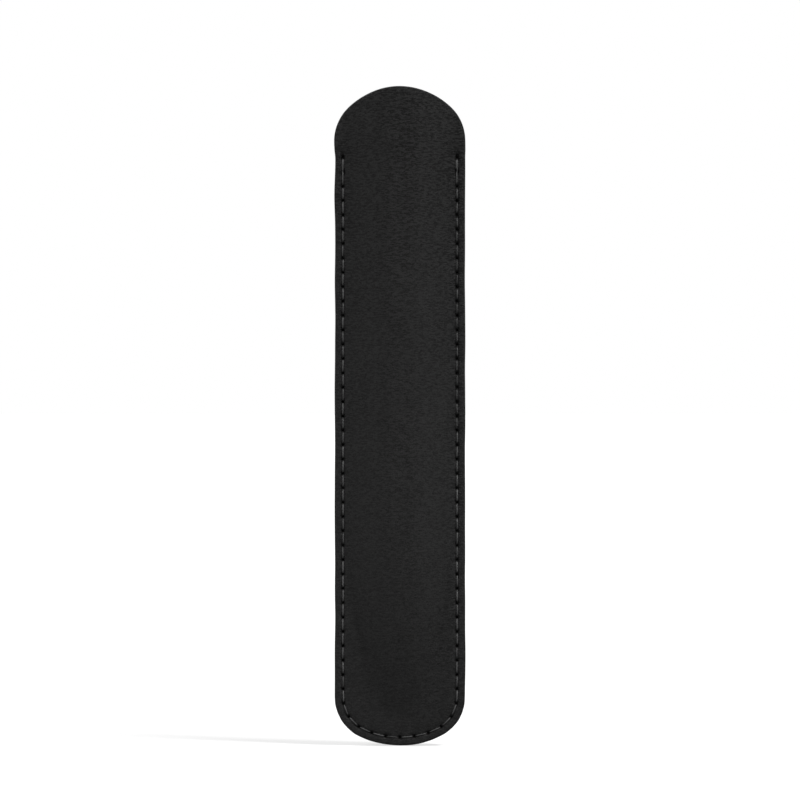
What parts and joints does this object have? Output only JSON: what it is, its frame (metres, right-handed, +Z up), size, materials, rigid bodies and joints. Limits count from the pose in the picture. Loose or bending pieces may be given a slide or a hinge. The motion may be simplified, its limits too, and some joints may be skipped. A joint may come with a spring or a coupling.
{
  "type": "pen sleeve",
  "caption": "Slim leather sleeve for one pen: two lined leather panels sewn round the sides and the foot, open at an arched mouth.",
  "frame": {"origin": "middle of the foot's lowest edge, on the surface that the sleeve is stood on, midway between the front and the back", "axes": "+Z up the sleeve's length to its open mouth, -Y out of the front panel, +Y out of the back panel, +X to the right seen from the front"},
  "size_m": [0.0318, 0.0142, 0.16],
  "materials": {
    "leather": "black, fine grain, satin",
    "lining": "napped microsuede, dark grey",
    "thread": "bonded polyester thread, dark grey"
  },
  "bodies": {
    "root": {"front_panel": "leather", "back_panel": "leather", "front_lining": "lining", "back_lining": "lining", "needle_thread": "thread", "bobbin_thread": "thread"}
  },
  "joints": []
}
